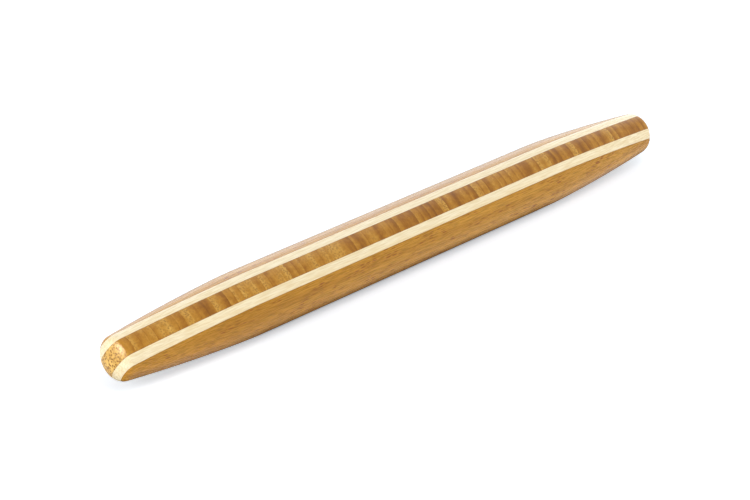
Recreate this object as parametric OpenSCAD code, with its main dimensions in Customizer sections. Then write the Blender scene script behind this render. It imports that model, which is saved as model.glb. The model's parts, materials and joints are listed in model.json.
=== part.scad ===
// French rolling pin: a tapered pin without handles, turned from one glued block of wood.
// Five layers run its whole length: a cheek, a pale strip, the core, a pale strip and a cheek.
// The core is a row of crosscut slats that stand side by side along the pin.
// The pin lies along X with its middle at the origin, leaning about X as it came to rest.

/* [Pin] */
// Diameter of the straight middle
pin_d = 44.5; // [40:0.5:50]
// Length over the two domed ends
pin_len = 499; // [450:1:540]
// Length of the straight middle, between the two tapers
middle_len = 286; // [220:2:320]

/* [Tapers] */
// Slope at which a taper leaves the middle, in degrees
taper_slope = 2.2; // [1.5:0.1:2.8]
// Radius of a taper's long bulging curve
taper_r = 1360; // [1100:10:2000]
// Radius of the curve that eases the middle into a taper
ease_r = 400; // [100:10:600]

/* [Ends] */
// Radius that rounds the edge of an end
edge_r = 7.1; // [3:0.1:8]
// Radius of the shallow dome on an end
dome_r = 23; // [21:0.5:50]

/* [Layers] */
// Thickness of the core, which is the width of its slats
core_t = 12; // [8:0.5:14]
// Thickness of a pale strip
strip_t = 5.7; // [3:0.1:6]
// How many pairs of equal slats stand either side of the middle slat
slat_pairs = 43; // [30:1:55]
// Angle that the glue faces between the layers lean from upright, in degrees
lean = 35; // [0:1:90]

/* [Colours] */
// Caramel bamboo of the cheeks
cheek_colour = "#B98744";
// Pale bamboo of the strips
strip_colour = "#F2E3BC";
// Brown bamboo of the core, seen on its end grain
core_colour = "#A66A2E";

/* [Hidden] */
$fn = 120;
pin_r = pin_d / 2;
half_len = pin_len / 2;
strip_out = core_t / 2 + strip_t;
slat_t = pin_len / (2 * slat_pairs + 1);

// Room that a plank has beyond the turned form before it is turned away
spare = 1;

// Straight pieces that stand in for each curve of the outline
EASE_STEPS = 3;
TAPER_STEPS = 10;
EDGE_STEPS = 8;
DOME_STEPS = 6;

// The outline's curves are arcs in the plane of [distance from the axis, place along the pin].
// Each arc touches the next one without a corner. Its angle is counted from straight outwards.
taper_c = [pin_r - taper_r * cos(taper_slope), middle_len / 2 - taper_r * sin(taper_slope)];
ease_c = [pin_r - ease_r, taper_c[1] + leg(taper_r - ease_r, pin_r - ease_r - taper_c[0])];
dome_c = [0, half_len - dome_r];
edge_c = nested_centre(taper_c, taper_r - edge_r, dome_c, dome_r - edge_r);
ease_end = direction(taper_c, ease_c);
taper_end = direction(taper_c, edge_c);
edge_end = direction(dome_c, edge_c);

half_outline = concat(
    [[pin_r, ease_c[1]]],
    arc(ease_c, ease_r, 0, ease_end, EASE_STEPS),
    arc(taper_c, taper_r, ease_end, taper_end, TAPER_STEPS),
    arc(edge_c, edge_r, taper_end, edge_end, EDGE_STEPS),
    arc(dome_c, dome_r, edge_end, 90, DOME_STEPS)
);
mirrored_half = [for (i = [len(half_outline) - 1:-1:0]) [half_outline[i][0], -half_outline[i][1]]];
outline = concat(mirrored_half, half_outline);

// Second short side of a right triangle
function leg(longest, other) = sqrt(longest * longest - other * other);

// Angle of the line from one centre to another, counted from straight outwards
function direction(from, to) = atan2(to[1] - from[1], to[0] - from[0]);

// Points of an arc after its first, from one angle to another
function arc(centre, r, from, to, steps) = [
    for (i = [1:steps])
        let (a = from + (to - from) * i / steps)
        centre + r * [cos(a), sin(a)]
];

// Centre that lies at given distances from two others, on the side towards the pin's end
function nested_centre(a, from_a, b, from_b) =
    let (
        gap = norm(b - a),
        along = (b - a) / gap,
        reach = (from_a * from_a - from_b * from_b + gap * gap) / (2 * gap)
    )
    a + reach * along + leg(from_a, reach) * [-along[1], along[0]];

function two_digits(i) = str(i < 10 ? "0" : "", i);
function slat_name(i) = str("core_slats_", two_digits(i));

// Whole turned form, from dome to dome
module turned_form() {
    rotate([0, 90, 0])
        rotate_extrude()
            polygon(outline);
}

// What the lathe leaves of a plank that fills these places along and across the pin
module turned(along, across) {
    rotate([lean, 0, 0])
        intersection() {
            turned_form();
            translate([along[0], across[0], -pin_r - spare])
                cube([along[1] - along[0], across[1] - across[0], pin_d + 2 * spare]);
        }
}

// A layer as long as the pin
module full_layer(across) {
    turned([-half_len - spare, half_len + spare], across);
}

module near_cheek() {
    color(cheek_colour)
        full_layer([-pin_r - spare, -strip_out]);
}

module near_pale_strip() {
    color(strip_colour)
        full_layer([-strip_out, -core_t / 2]);
}

module far_pale_strip() {
    color(strip_colour)
        full_layer([core_t / 2, strip_out]);
}

module far_cheek() {
    color(cheek_colour)
        full_layer([strip_out, pin_r + spare]);
}

// One slat of the core, counted from the middle of the pin
module core_slat(place) {
    color(core_colour)
        turned([place - 0.5, place + 0.5] * slat_t, [-core_t / 2, core_t / 2]);
}

// Two equal slats, as far from the middle on either side
module core_slat_pair(place) {
    core_slat(-place);
    core_slat(place);
}

near_cheek();
near_pale_strip();
core_slat(0);  // middle_core_slat
for (i = [1:slat_pairs])
    core_slat_pair(i);
far_pale_strip();
far_cheek();
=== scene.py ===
"""Looks of the french rolling pin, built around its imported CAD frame."""
import json
import math
import random

import bmesh
import bpy
from mathutils import Matrix, Vector


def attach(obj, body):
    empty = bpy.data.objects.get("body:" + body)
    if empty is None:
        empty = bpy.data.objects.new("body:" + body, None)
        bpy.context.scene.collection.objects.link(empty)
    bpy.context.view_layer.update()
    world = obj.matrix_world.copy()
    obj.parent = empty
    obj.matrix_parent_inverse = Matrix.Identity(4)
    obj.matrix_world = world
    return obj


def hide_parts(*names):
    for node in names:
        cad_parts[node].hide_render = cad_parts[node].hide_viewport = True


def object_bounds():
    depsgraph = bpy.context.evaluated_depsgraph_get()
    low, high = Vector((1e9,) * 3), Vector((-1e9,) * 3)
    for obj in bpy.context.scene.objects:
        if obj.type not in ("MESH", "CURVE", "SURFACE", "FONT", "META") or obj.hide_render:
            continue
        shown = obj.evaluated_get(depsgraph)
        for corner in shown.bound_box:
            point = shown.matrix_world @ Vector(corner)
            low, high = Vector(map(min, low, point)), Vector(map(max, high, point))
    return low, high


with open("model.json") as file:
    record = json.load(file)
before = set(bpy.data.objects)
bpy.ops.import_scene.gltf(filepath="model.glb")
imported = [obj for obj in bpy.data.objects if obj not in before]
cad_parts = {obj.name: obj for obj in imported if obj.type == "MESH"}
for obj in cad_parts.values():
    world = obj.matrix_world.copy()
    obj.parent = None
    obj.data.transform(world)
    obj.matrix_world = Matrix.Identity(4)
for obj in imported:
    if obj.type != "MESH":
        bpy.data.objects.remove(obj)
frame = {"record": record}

CAD_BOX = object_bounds()
MM = 0.001

# The pin, in millimetres. Its length and thickness come from the frame, the rest repeats the CAD outline.
PIN_R = frame["record"]["mounts"][0]["dims"]["r_mm"]
HALF_LEN = CAD_BOX[1][0] / MM
MIDDLE_LEN = 286
TAPER_SLOPE = math.radians(2.2)
TAPER_R = 1360
EASE_R = 400
EDGE_R = 7.1
DOME_R = 23

# The layers. LEAN is how far the glue faces lean from upright.
CORE_T = 12
STRIP_T = 5.7
STRIP_OUT = CORE_T / 2 + STRIP_T
LEAN = math.radians(35)
SLAT_PAIRS = 43
SLATS = 2 * SLAT_PAIRS + 1
SLAT_T = 2 * HALF_LEN / SLATS

# The slats that stand out, counted from the middle towards the far end: darker ones, paler ones,
# and those whose dense side is plain to see and faces the far or the near end
DARK_SLATS = (-32, -31, -29, -10, -5, -3, -1, 0, 2, 3, 4, 7, 10, 19, 20, 24, 25, 29, 30, 31, 34, 40)
OPEN_SLATS = (-37, -34, -25, -20, -16, -13, -12, 5, 11, 22, 23, 28, 35)
DENSE_FAR_SIDE = (-43, -42, -33, -32, -28, -26, -12, -11, -9, -4, 10, 14, 24, 29)
DENSE_NEAR_SIDE = (-39, -34, -31, -25, -22, -13, -8, -7, -5, -1, 8, 20, 30, 34)

# How pale a slat is: the dark ones, the pale ones, the last one at the near end, and the range of the
# others. Of those, the ones before GOLDEN_END are paler by GOLDEN_TONE.
DARK_TONE = -0.08
OPEN_TONE = 0.22
END_TONE = 0.4
OTHER_TONES = (-0.03, 0.12)
GOLDEN_END = -9
GOLDEN_TONE = 0.07
TONE_SEED = 7

# How finely the turned form is meshed
SPIN_STEPS = 180
MIDDLE_STEPS = 24
EASE_STEPS = 6
TAPER_STEPS = 36
EDGE_STEPS = 18
DOME_STEPS = 12

# Corners closer than this are one where the form is merged and where it is cut, in millimetres
MERGE_GAP = 0.001
CUT_GAP = 0.0001

# An edge that turns more than this stays sharp
SHARP = math.radians(30)

# Roughness of satin lacquer on long grain, and on end grain, which drinks more of it
SATIN = 0.27
END_GRAIN_SATIN = 0.42

# Half the width of the paper floor, in metres
FLOOR_REACH = 4


# Turned form

def leg(longest, other):
    """Second short side of a right triangle."""
    return math.sqrt(longest * longest - other * other)


def direction(start, end):
    """Angle of the line between two centres, counted from straight outwards."""
    return math.atan2(end.x - start.x, end.y - start.y)


def nested_centre(a, from_a, b, from_b):
    """Centre that lies at given distances from two others, on the side towards the pin's end."""
    gap = (b - a).length
    along = (b - a) / gap
    reach = (from_a**2 - from_b**2 + gap**2) / (2 * gap)
    return a + reach * along + leg(from_a, reach) * Vector((along.y, -along.x))


def arc(centre, radius, start, end, steps):
    """Points of an arc after its first, as (place along the pin, distance from its axis)."""
    turns = (start + (end - start) * i / steps for i in range(1, steps + 1))
    return [centre + radius * Vector((math.sin(a), math.cos(a))) for a in turns]


def half_outline():
    """Outline from the end of the straight middle to the tip of the dome."""
    taper_c = Vector((MIDDLE_LEN / 2 - TAPER_R * math.sin(TAPER_SLOPE),
                      PIN_R - TAPER_R * math.cos(TAPER_SLOPE)))
    ease_c = Vector((taper_c.x + leg(TAPER_R - EASE_R, PIN_R - EASE_R - taper_c.y), PIN_R - EASE_R))
    dome_c = Vector((HALF_LEN - DOME_R, 0))
    edge_c = nested_centre(taper_c, TAPER_R - EDGE_R, dome_c, DOME_R - EDGE_R)
    ease_end = direction(taper_c, ease_c)
    taper_end = direction(taper_c, edge_c)
    edge_end = direction(dome_c, edge_c)
    return ([Vector((ease_c.x, PIN_R))]
            + arc(ease_c, EASE_R, 0, ease_end, EASE_STEPS)
            + arc(taper_c, TAPER_R, ease_end, taper_end, TAPER_STEPS)
            + arc(edge_c, EDGE_R, taper_end, edge_end, EDGE_STEPS)
            + arc(dome_c, DOME_R, edge_end, math.pi / 2, DOME_STEPS))


def turned_form():
    """The whole pin as one closed skin, with its glue faces upright."""
    half = half_outline()
    middle = [Vector((half[0].x * (2 * i / MIDDLE_STEPS - 1), PIN_R)) for i in range(1, MIDDLE_STEPS)]
    outline = [Vector((-p.x, p.y)) for p in reversed(half)] + middle + half
    form = bmesh.new()
    verts = [form.verts.new((p.x * MM, 0, p.y * MM)) for p in outline]
    edges = [form.edges.new(pair) for pair in zip(verts, verts[1:])]
    bmesh.ops.spin(form, geom=verts + edges, cent=(0, 0, 0), axis=(1, 0, 0),
                   angle=2 * math.pi, steps=SPIN_STEPS, use_merge=True)
    bmesh.ops.remove_doubles(form, verts=form.verts, dist=MERGE_GAP * MM)
    bmesh.ops.recalc_face_normals(form, faces=form.faces)
    return form


def cut(form, axis, at, keep):
    """Cuts a closed form flat across an axis at a place in millimetres, and keeps one side of it."""
    normal = Vector((0, 0, 0))
    normal[axis] = 1
    cuts = bmesh.ops.bisect_plane(form, geom=form.verts[:] + form.edges[:] + form.faces[:],
                                  dist=CUT_GAP * MM, plane_co=normal * at * MM, plane_no=normal,
                                  clear_outer=keep < 0, clear_inner=keep > 0)
    rim = [e for e in cuts["geom_cut"] if isinstance(e, bmesh.types.BMEdge)]
    bmesh.ops.edgeloop_fill(form, edges=rim)


def piece_between(form, axis, low, high):
    """Copy of the part of a closed form that lies between two flat cuts; a cut at None is left out."""
    piece = form.copy()
    if low is not None:
        cut(piece, axis, low, 1)
    if high is not None:
        cut(piece, axis, high, -1)
    return piece


def as_object(name, form, material, node):
    """Leans a finished form as the pin lies, and makes it the piece that stands for a CAD node."""
    bmesh.ops.recalc_face_normals(form, faces=form.faces)
    bmesh.ops.rotate(form, verts=form.verts, cent=(0, 0, 0), matrix=Matrix.Rotation(LEAN, 3, "X"))
    for face in form.faces:
        face.smooth = True
    for edge in form.edges:
        edge.smooth = edge.calc_face_angle(0) < SHARP
    mesh = bpy.data.meshes.new(name)
    form.to_mesh(mesh)
    form.free()
    mesh.materials.append(material)
    piece = bpy.data.objects.new(name, mesh)
    bpy.context.scene.collection.objects.link(piece)
    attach(piece, "root")
    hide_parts(node)
    return piece


# Materials

def linear(hex_colour):
    """A linear colour from an sRGB hex value."""
    parts = [int(hex_colour[i:i + 2], 16) / 255 for i in (1, 3, 5)]
    return [p / 12.92 if p <= 0.04045 else ((p + 0.055) / 1.055) ** 2.4 for p in parts] + [1]


def add(tree, kind, inputs=None, ramp=None, **settings):
    """Adds a node, sets it, and gives its inputs values or links them. Returns the node."""
    node = tree.nodes.new(kind)
    for name, value in settings.items():
        setattr(node, name, value)
    for key, value in (inputs or {}).items():
        if isinstance(value, bpy.types.NodeSocket):
            tree.links.new(value, node.inputs[key])
        else:
            node.inputs[key].default_value = value
    if ramp:
        stops = node.color_ramp.elements
        while len(stops) < len(ramp):
            stops.new(0.5)
        for stop, (place, colour) in zip(stops, ramp):
            stop.position = place
            stop.color = colour
    return node


def grey(value):
    return (value, value, value, 1)


def lacquered(name):
    """A material under clear satin lacquer, with its tree, its shader and the place on it.

    The place is in millimetres, in axes that lean with the layers: along the pin, across the glue
    faces, and up them.
    """
    material = bpy.data.materials.new(name)
    material.use_nodes = True
    tree = material.node_tree
    shader = tree.nodes["Principled BSDF"]
    # The lacquer is thin and has sunk into the pores, so it mirrors less than a whole film
    shader.inputs["IOR"].default_value = 1.45
    shader.inputs["Specular IOR Level"].default_value = 0.35
    coords = add(tree, "ShaderNodeTexCoord")
    place = add(tree, "ShaderNodeMapping", {"Vector": coords.outputs["Object"], "Rotation": (-LEAN, 0, 0),
                                            "Scale": (1 / MM,) * 3})
    return material, tree, shader, place.outputs["Vector"]


def caramel_bamboo():
    """Carbonised bamboo, fibres along the pin: honey brown, with loose clusters of darker fibre dashes."""
    material, tree, shader, place = lacquered("caramel_bamboo_satin_lacquer")
    # Tone of the strips that a cheek is glued from, about 6 mm thick
    strips = add(tree, "ShaderNodeMapping", {"Vector": place, "Scale": (1 / 240, 1 / 6, 1 / 6)})
    strip_tone = add(tree, "ShaderNodeTexNoise",
                     {"Vector": strips.outputs["Vector"], "Scale": 1, "Detail": 1})
    wood = add(tree, "ShaderNodeValToRGB", {"Fac": strip_tone.outputs["Fac"]},
               ramp=[(0.35, linear("#B47C1F")), (0.5, linear("#BE8627")), (0.65, linear("#C79031"))])
    # Fibre lines, 0.6 mm apart and some 10 mm long
    lines = add(tree, "ShaderNodeMapping", {"Vector": place, "Scale": (1 / 10, 1 / 0.6, 1 / 0.6)})
    line_noise = add(tree, "ShaderNodeTexNoise",
                     {"Vector": lines.outputs["Vector"], "Scale": 1, "Detail": 2})
    line_tone = add(tree, "ShaderNodeValToRGB", {"Fac": line_noise.outputs["Fac"]},
                    ramp=[(0.3, grey(0.7)), (0.5, grey(0.99)), (0.7, grey(1.12))])
    lined = add(tree, "ShaderNodeMix", {0: 1.0, 6: wood.outputs["Color"], 7: line_tone.outputs["Color"]},
                data_type="RGBA", blend_type="MULTIPLY")
    # A band of a cheek, about 5 mm wide and centred 5.2 mm up from the pin's axis, is painted paler, as a
    # painted reflection of the bright paper
    height = add(tree, "ShaderNodeSeparateXYZ", {"Vector": place})
    off_painted_band = add(tree, "ShaderNodeMath", {0: height.outputs["Z"], 1: 5.2}, operation="SUBTRACT")
    painted_band_gap = add(tree, "ShaderNodeMath", {0: off_painted_band.outputs["Value"]}, operation="ABSOLUTE")
    painted_reflection = add(tree, "ShaderNodeMapRange", {"Value": painted_band_gap.outputs["Value"], "From Min": 1.5,
                                             "From Max": 3.2, "To Min": 1.13, "To Max": 1})
    with_painted_reflection = add(tree, "ShaderNodeVectorMath", {0: lined.outputs[2], "Scale": painted_reflection.outputs["Result"]},
                   operation="SCALE")
    # Fibre bundles are 0.3 mm wide dashes, drawn 0.7 mm wide so that they show
    cells = add(tree, "ShaderNodeMapping", {"Vector": place, "Scale": (1 / 6, 1 / 1.1, 1 / 1.1)})
    bundles = add(tree, "ShaderNodeTexVoronoi", {"Vector": cells.outputs["Vector"], "Scale": 1})
    chance = add(tree, "ShaderNodeSeparateXYZ", {"Vector": bundles.outputs["Color"]})
    dash = add(tree, "ShaderNodeMapRange", {"Value": bundles.outputs["Distance"], "From Min": 0.15,
                                            "From Max": 0.5, "To Min": 1, "To Max": 0})
    # They crowd together in clusters about 24 mm long and 5 mm wide
    groups = add(tree, "ShaderNodeMapping", {"Vector": place, "Scale": (1 / 24, 1 / 5, 1 / 5)})
    group_noise = add(tree, "ShaderNodeTexNoise",
                      {"Vector": groups.outputs["Vector"], "Scale": 1, "Detail": 1})
    crowd = add(tree, "ShaderNodeMapRange", {"Value": group_noise.outputs["Fac"], "From Min": 0.42,
                                             "From Max": 0.66, "To Min": 0, "To Max": 2.2})
    shown = add(tree, "ShaderNodeMath", {0: crowd.outputs["Result"], 1: chance.outputs["X"]},
                operation="MULTIPLY")
    dash_share = add(tree, "ShaderNodeMath", {0: shown.outputs["Value"], 1: dash.outputs["Result"]},
                     operation="MULTIPLY")
    dashed = add(tree, "ShaderNodeMix", {0: dash_share.outputs["Value"], 6: with_painted_reflection.outputs[0],
                                         7: linear("#94540C")}, data_type="RGBA")
    colour = glue_edge(tree, place, STRIP_OUT, dashed.outputs[2])
    tree.links.new(colour, shader.inputs["Base Color"])
    relief(tree, shader, dash_share.outputs["Value"], line_noise.outputs["Fac"], SATIN)
    return material


def pale_bamboo():
    """Natural bamboo with its fibres along the pin: nearly even cream with faint straw streaks."""
    material, tree, shader, place = lacquered("pale_bamboo_satin_lacquer")
    # Broad streaks about 2.5 mm wide
    strips = add(tree, "ShaderNodeMapping", {"Vector": place, "Scale": (1 / 150, 1 / 2.5, 1 / 2.5)})
    strip_tone = add(tree, "ShaderNodeTexNoise",
                     {"Vector": strips.outputs["Vector"], "Scale": 1, "Detail": 1})
    wood = add(tree, "ShaderNodeValToRGB", {"Fac": strip_tone.outputs["Fac"]},
               ramp=[(0.35, linear("#F9E9C2")), (0.65, linear("#FCEFCE"))])
    # Fibre lines, 0.8 mm apart and some 12 mm long
    lines = add(tree, "ShaderNodeMapping", {"Vector": place, "Scale": (1 / 12, 1 / 0.8, 1 / 0.8)})
    line_noise = add(tree, "ShaderNodeTexNoise",
                     {"Vector": lines.outputs["Vector"], "Scale": 1, "Detail": 2})
    line_tone = add(tree, "ShaderNodeValToRGB", {"Fac": line_noise.outputs["Fac"]},
                    ramp=[(0.3, linear("#F1E8D6")), (0.65, grey(1.0))])
    colour = add(tree, "ShaderNodeMix", {0: 1.0, 6: wood.outputs["Color"], 7: line_tone.outputs["Color"]},
                 data_type="RGBA", blend_type="MULTIPLY")
    tree.links.new(colour.outputs[2], shader.inputs["Base Color"])
    relief(tree, shader, line_noise.outputs["Fac"], line_noise.outputs["Fac"], SATIN)
    return material


def crosscut_bamboo():
    """Carbonised bamboo cut across: slats that go from dense and dark to open and pale, with fibre dots."""
    material, tree, shader, place = lacquered("crosscut_bamboo_satin_lacquer")
    tone = add(tree, "ShaderNodeAttribute", attribute_name="slat_tone")
    turn = add(tree, "ShaderNodeAttribute", attribute_name="slat_turn")
    # Share of its slat's thickness that a place has passed, counted from the slat's dense side
    along = add(tree, "ShaderNodeSeparateXYZ", {"Vector": place})
    slats = add(tree, "ShaderNodeMath", {0: along.outputs["X"], 1: 1 / SLAT_T, 2: SLATS + 0.5},
                operation="MULTIPLY_ADD")
    share = add(tree, "ShaderNodeMath", {0: slats.outputs["Value"]}, operation="FRACT")
    other = add(tree, "ShaderNodeMath", {0: 1.0, 1: share.outputs["Value"]}, operation="SUBTRACT")
    openness = add(tree, "ShaderNodeMix", {0: turn.outputs["Fac"], 2: share.outputs["Value"],
                                           3: other.outputs["Value"]}, data_type="FLOAT")
    shaded = add(tree, "ShaderNodeMath", {0: openness.outputs[0], 1: 0.22, 2: tone.outputs["Fac"]},
                 operation="MULTIPLY_ADD")
    # Growth streaks about 3 mm wide, nearly straight across the pin
    streaks = add(tree, "ShaderNodeMapping", {"Vector": place, "Scale": (1 / 3, 1 / 24, 1 / 60)})
    streak_noise = add(tree, "ShaderNodeTexNoise",
                       {"Vector": streaks.outputs["Vector"], "Scale": 1, "Detail": 2})
    level = add(tree, "ShaderNodeMath",
                {0: streak_noise.outputs["Fac"], 1: 0.36, 2: shaded.outputs["Value"]},
                operation="MULTIPLY_ADD")
    # Soft clouds about 4 mm wide
    clouds = add(tree, "ShaderNodeMapping", {"Vector": place, "Scale": (1 / 3.5, 1 / 4, 1 / 10)})
    cloud_noise = add(tree, "ShaderNodeTexNoise",
                      {"Vector": clouds.outputs["Vector"], "Scale": 1, "Detail": 2})
    cloudy = add(tree, "ShaderNodeMath",
                 {0: cloud_noise.outputs["Fac"], 1: 0.34, 2: level.outputs["Value"]},
                 operation="MULTIPLY_ADD")
    wood = add(tree, "ShaderNodeValToRGB", {"Fac": cloudy.outputs["Value"]},
               ramp=[(0.15, linear("#7E4C0E")), (0.4, linear("#A1691B")), (0.55, linear("#B8812B")),
                     (0.8, linear("#D2A24B")), (1.0, linear("#EDC26A"))])
    # Fibre ends are 0.5 mm wide, drawn 1.2 mm wide so that they show, and stand out most on open wood
    cells = add(tree, "ShaderNodeMapping", {"Vector": place, "Scale": (1 / 1.4, 1 / 1.4, 1 / 1.5)})
    ends = add(tree, "ShaderNodeTexVoronoi", {"Vector": cells.outputs["Vector"], "Scale": 1})
    dot = add(tree, "ShaderNodeMapRange", {"Value": ends.outputs["Distance"], "From Min": 0.25,
                                           "From Max": 0.6, "To Min": 1, "To Max": 0})
    strength = add(tree, "ShaderNodeMapRange", {"Value": cloudy.outputs["Value"], "From Min": 0.55,
                                                "From Max": 0.95, "To Min": 0.15, "To Max": 1})
    dot_share = add(tree, "ShaderNodeMath", {0: dot.outputs["Result"], 1: strength.outputs["Result"]},
                    operation="MULTIPLY")
    dotted = add(tree, "ShaderNodeMix", {0: dot_share.outputs["Value"], 6: wood.outputs["Color"],
                                         7: linear("#997038")}, data_type="RGBA", blend_type="MULTIPLY")
    colour = glue_edge(tree, place, CORE_T / 2, dotted.outputs[2])
    tree.links.new(colour, shader.inputs["Base Color"])
    relief(tree, shader, dot_share.outputs["Value"], streak_noise.outputs["Fac"], END_GRAIN_SATIN)
    return material


def glue_edge(tree, place, at, wood):
    """Wood with a dark line along its glue faces: 0.1 mm wide, drawn 0.5 mm wide so that it shows."""
    across = add(tree, "ShaderNodeSeparateXYZ", {"Vector": place})
    distance = add(tree, "ShaderNodeMath", {0: across.outputs["Y"]}, operation="ABSOLUTE")
    off = add(tree, "ShaderNodeMath", {0: distance.outputs["Value"], 1: at}, operation="SUBTRACT")
    gap = add(tree, "ShaderNodeMath", {0: off.outputs["Value"]}, operation="ABSOLUTE")
    line = add(tree, "ShaderNodeMapRange", {"Value": gap.outputs["Value"], "From Min": 0.2,
                                            "From Max": 0.7, "To Min": 0.3, "To Max": 0})
    edged = add(tree, "ShaderNodeMix", {0: line.outputs["Result"], 6: wood, 7: linear("#85551A")},
                data_type="RGBA")
    return edged.outputs[2]


def relief(tree, shader, fibres, lines, roughness):
    """Grain that shows through the lacquer: fibres sink up to 0.04 mm, and lines vary the gloss."""
    dent = add(tree, "ShaderNodeBump", {"Height": fibres, "Strength": 0.3, "Distance": 0.04 * MM},
               invert=True)
    tree.links.new(dent.outputs["Normal"], shader.inputs["Normal"])
    gloss = add(tree, "ShaderNodeMapRange", {"Value": lines, "From Min": 0.3, "From Max": 0.7,
                                             "To Min": roughness - 0.04, "To Max": roughness + 0.04})
    tree.links.new(gloss.outputs["Result"], shader.inputs["Roughness"])


# Pieces

def slat_pair(core, number, tones, turns, material):
    """The two slats that lie equally far from the middle, or the middle one alone, as one piece."""
    pair = bmesh.new()
    for place in sorted({-number, number}):
        slat = piece_between(core, 0,
                             None if place == -SLAT_PAIRS else (place - 0.5) * SLAT_T,
                             None if place == SLAT_PAIRS else (place + 0.5) * SLAT_T)
        tone = slat.verts.layers.float.new("slat_tone")
        turn = slat.verts.layers.float.new("slat_turn")
        for vert in slat.verts:
            vert[tone] = tones[place]
            vert[turn] = turns[place]
        part = bpy.data.meshes.new("slat")
        slat.to_mesh(part)
        slat.free()
        pair.from_mesh(part)
        bpy.data.meshes.remove(part)
    node = f"core_slats_{number:02d}" if number else "middle_core_slat"
    return as_object(f"crosscut_{node}", pair, material, node)


def build_pin():
    """Cuts the turned form into its layers and slats. Returns the piece that holds the two end slats."""
    caramel, pale, crosscut = caramel_bamboo(), pale_bamboo(), crosscut_bamboo()
    whole = turned_form()
    layers = (("near_cheek", None, -STRIP_OUT, caramel, "caramel_bamboo"),
              ("near_pale_strip", -STRIP_OUT, -CORE_T / 2, pale, "pale_bamboo"),
              ("far_pale_strip", CORE_T / 2, STRIP_OUT, pale, "pale_bamboo"),
              ("far_cheek", STRIP_OUT, None, caramel, "caramel_bamboo"))
    for node, low, high, material, slot in layers:
        as_object(f"turned_{node}", piece_between(whole, 1, low, high), material, node)
    core = piece_between(whole, 1, -CORE_T / 2, CORE_T / 2)
    chance = random.Random(TONE_SEED)
    places = range(-SLAT_PAIRS, SLAT_PAIRS + 1)
    tones = {place: chance.uniform(*OTHER_TONES) + (GOLDEN_TONE if place < GOLDEN_END else 0)
             for place in places}
    turns = {place: float(chance.random() < 0.5) for place in places}
    tones.update({place: DARK_TONE for place in DARK_SLATS})
    tones.update({place: OPEN_TONE for place in OPEN_SLATS})
    tones[-SLAT_PAIRS] = END_TONE
    turns.update({place: 1.0 for place in DENSE_FAR_SIDE})
    turns.update({place: 0.0 for place in DENSE_NEAR_SIDE})
    pairs = [slat_pair(core, number, tones, turns, crosscut) for number in range(SLAT_PAIRS + 1)]
    core.free()
    whole.free()
    return pairs[SLAT_PAIRS]


# Studio

def build_camera():
    """The photo's view: turned to the pin's near end and raised, through a long lens."""
    turn, rise = math.radians(44.9), math.radians(26.05)
    # Distance and aim from the pin's middle are in metres, the lens and its sensor in millimetres
    distance, lens = 1.7397, 125.6
    aim_right, aim_up = -0.01537, -0.00918
    back = Vector((-math.sin(turn) * math.cos(rise), -math.cos(turn) * math.cos(rise), math.sin(rise)))
    right = Vector((math.cos(turn), -math.sin(turn), 0))
    up = back.cross(right)
    data = bpy.data.cameras.new("camera")
    data.lens = lens
    data.sensor_width = 36
    camera = bpy.data.objects.new("camera", data)
    camera.matrix_world = Matrix.Translation(right * aim_right + up * aim_up + back * distance) @ \
        Matrix((right, up, back)).transposed().to_4x4()
    bpy.context.scene.collection.objects.link(camera)
    bpy.context.scene.camera = camera


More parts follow.
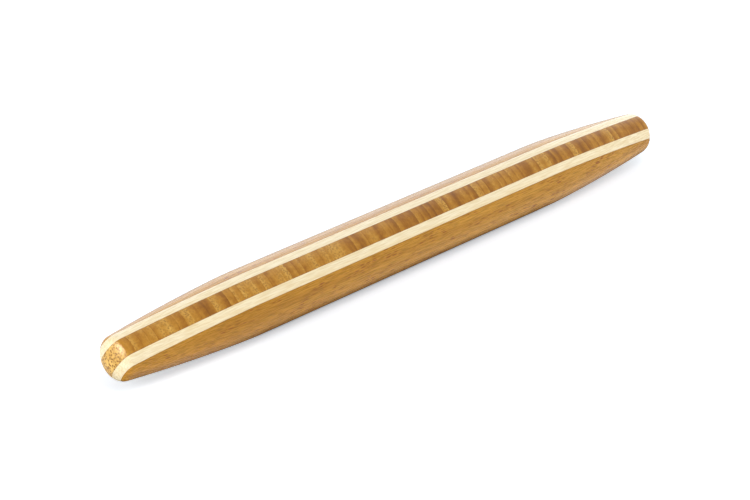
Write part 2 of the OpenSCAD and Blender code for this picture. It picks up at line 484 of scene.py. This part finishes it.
def build_floor():
    """White paper that stays white around the pin and keeps the pin's shadow, with painted shade right
    under the pin.
    """
    form = bmesh.new()
    bmesh.ops.create_grid(form, x_segments=1, y_segments=1, size=FLOOR_REACH)
    bmesh.ops.translate(form, verts=form.verts, vec=(0, 0, -PIN_R * MM))
    mesh = bpy.data.meshes.new("floor")
    form.to_mesh(mesh)
    form.free()
    floor = bpy.data.objects.new("floor", mesh)
    bpy.context.scene.collection.objects.link(floor)
    material = bpy.data.materials.new("white_paper")
    material.use_nodes = True
    tree = material.node_tree
    tree.nodes.clear()
    rays = add(tree, "ShaderNodeLightPath")
    coords = add(tree, "ShaderNodeTexCoord")
    place = add(tree, "ShaderNodeSeparateXYZ", {"Vector": coords.outputs["Object"]})
    across = add(tree, "ShaderNodeMath", {0: place.outputs["Y"]}, operation="ABSOLUTE")
    # The wood is lit by plain white paper with painted shade under the pin, where no light gets in.
    # The tapers rise from the paper, so there the painted dark patch is narrower.
    along = add(tree, "ShaderNodeMath", {0: place.outputs["X"]}, operation="ABSOLUTE")
    past_middle = add(tree, "ShaderNodeMapRange", {"Value": along.outputs["Value"], "From Min": 0.13,
                                                   "From Max": 0.2, "To Min": 0, "To Max": 0.009})
    off_contact = add(tree, "ShaderNodeMath",
                      {0: across.outputs["Value"], 1: past_middle.outputs["Result"]}, operation="ADD")
    painted_contact_shade = add(tree, "ShaderNodeMapRange", {"Value": off_contact.outputs["Value"], "From Min": 0.012,
                                               "From Max": 0.026, "To Min": 0.02, "To Max": 0.88})
    # The camera sees it a little blue, against the warm light that the wood throws into its shadow
    shown = add(tree, "ShaderNodeMix", {0: rays.outputs["Is Camera Ray"], 6: painted_contact_shade.outputs["Result"],
                                        7: (0.82, 0.89, 0.97, 1)}, data_type="RGBA")
    paper = add(tree, "ShaderNodeBsdfDiffuse", {"Color": shown.outputs[2]})
    # Gloss and glass show it as white as it looks, and dark with the painted shade under the pin
    through = add(tree, "ShaderNodeMath",
                  {0: rays.outputs["Is Glossy Ray"], 1: rays.outputs["Is Transmission Ray"]},
                  operation="MAXIMUM")
    white = add(tree, "ShaderNodeMath", {0: painted_contact_shade.outputs["Result"], 1: 0.45}, operation="MULTIPLY")
    mirrored = add(tree, "ShaderNodeMath", {0: through.outputs["Value"], 1: white.outputs["Value"]},
                   operation="MULTIPLY")
    # The camera sees it lifted to white. Around the pin the lamps do most of that, so the lift is least
    # there, and a little more around the near end, as painted light that makes its shadow paler.
    least_with_painted_light = add(tree, "ShaderNodeMapRange", {"Value": place.outputs["X"], "From Min": -0.2,
                                             "From Max": -0.1, "To Min": 0.5, "To Max": 0.455})
    from_pin = add(tree, "ShaderNodeVectorMath", {0: coords.outputs["Object"]}, operation="LENGTH")
    lifted = add(tree, "ShaderNodeMapRange", {"Value": from_pin.outputs["Value"], "From Min": 0.25,
                                              "From Max": 0.6, "To Min": least_with_painted_light.outputs["Result"],
                                              "To Max": 1})
    # Along the line where the straight middle touches the paper the lift is left out, as a painted dark
    # contact line
    off_painted_line = add(tree, "ShaderNodeMapRange", {"Value": off_contact.outputs["Value"], "From Min": 0.0055,
                                              "From Max": 0.0085, "To Min": 0, "To Max": 1})
    shadowed = add(tree, "ShaderNodeMath", {0: lifted.outputs["Result"], 1: off_painted_line.outputs["Result"]},
                   operation="MULTIPLY")
    seen = add(tree, "ShaderNodeMath", {0: rays.outputs["Is Camera Ray"], 1: shadowed.outputs["Value"],
                                        2: mirrored.outputs["Value"]}, operation="MULTIPLY_ADD")
    lift = add(tree, "ShaderNodeEmission",
               {"Color": (0.94, 0.965, 1, 1), "Strength": seen.outputs["Value"]})
    both = add(tree, "ShaderNodeAddShader", {0: paper.outputs["BSDF"], 1: lift.outputs["Emission"]})
    add(tree, "ShaderNodeOutputMaterial", {"Surface": both.outputs["Shader"]})
    mesh.materials.append(material)


def softbox(name, toward, distance, width, height, power, colour="#FFFFFF", at=(0, 0, 0)):
    """A soft area light that shines from a direction onto a place, and is never seen itself.

    Distances are in metres, the power in watts.
    """
    data = bpy.data.lights.new(name, "AREA")
    data.shape = "RECTANGLE"
    data.size = width
    data.size_y = height
    data.energy = power
    data.color = linear(colour)[:3]
    lamp = bpy.data.objects.new(name, data)
    toward = Vector(toward).normalized()
    lamp.location = Vector(at) + toward * distance
    lamp.rotation_euler = toward.to_track_quat("Z", "Y").to_euler()
    lamp.visible_camera = False
    bpy.context.scene.collection.objects.link(lamp)
    return lamp


def build_light(end_slats):
    """A white room, soft lamps for the wood, and cards that only its lacquer shows."""
    world = bpy.data.worlds.new("white_room")
    bpy.context.scene.world = world
    world.use_nodes = True
    tree = world.node_tree
    tree.nodes.clear()
    # It lights the wood at a plain level, and shows as white
    room = add(tree, "ShaderNodeBackground", {"Color": (1, 1, 1, 1), "Strength": 0.46})
    seen = add(tree, "ShaderNodeBackground", {"Color": (1, 1, 1, 1), "Strength": 1.0})
    rays = add(tree, "ShaderNodeLightPath")
    mirrored = add(tree, "ShaderNodeMath",
                   {0: rays.outputs["Is Glossy Ray"], 1: rays.outputs["Is Transmission Ray"]},
                   operation="MAXIMUM")
    shown = add(tree, "ShaderNodeMath", {0: rays.outputs["Is Camera Ray"], 1: mirrored.outputs["Value"]},
                operation="MAXIMUM")
    either = add(tree, "ShaderNodeMixShader", {0: shown.outputs["Value"], 1: room.outputs["Background"],
                                               2: seen.outputs["Background"]})
    add(tree, "ShaderNodeOutputWorld", {"Surface": either.outputs["Shader"]})
    # Lights for the wood itself, kept out of its gloss
    for lamp in (softbox("front_softbox", (-0.15, -0.5, 0.8), 1.4, 0.6, 0.6, 5.3),
                 softbox("right_card", (0.85, -0.5, 0.3), 1.2, 0.8, 0.65, 4.2),
                 softbox("left_card", (-1, -0.05, 0.22), 0.9, 0.6, 0.5, 3.7)):
        lamp.visible_glossy = False
    # Cards that show only as gloss: on the near end's rounded edge, the far pale strip and the far cheek
    end_card = softbox("end_card", (-0.73, -0.1, 0.68), 0.35, 0.3, 0.26, 5.1, at=(-0.245, 0, 0))
    for card in (end_card,
                 softbox("high_back_card", (0.63, 0.42, 0.65), 2.0, 1.8, 1.0, 10),
                 softbox("low_back_card", (0.6, 0.75, 0.26), 2.0, 2.4, 1.2, 18, "#FFFCF5")):
        card.visible_diffuse = False
    # The first one lights the end slats alone, as it stands close to the pin
    end_card.light_linking.receiver_collection = bpy.data.collections.new("end_slats")
    end_card.light_linking.receiver_collection.objects.link(end_slats)


end_slats = build_pin()
build_camera()
build_floor()
build_light(end_slats)
bpy.context.scene.view_settings.view_transform = "Standard"
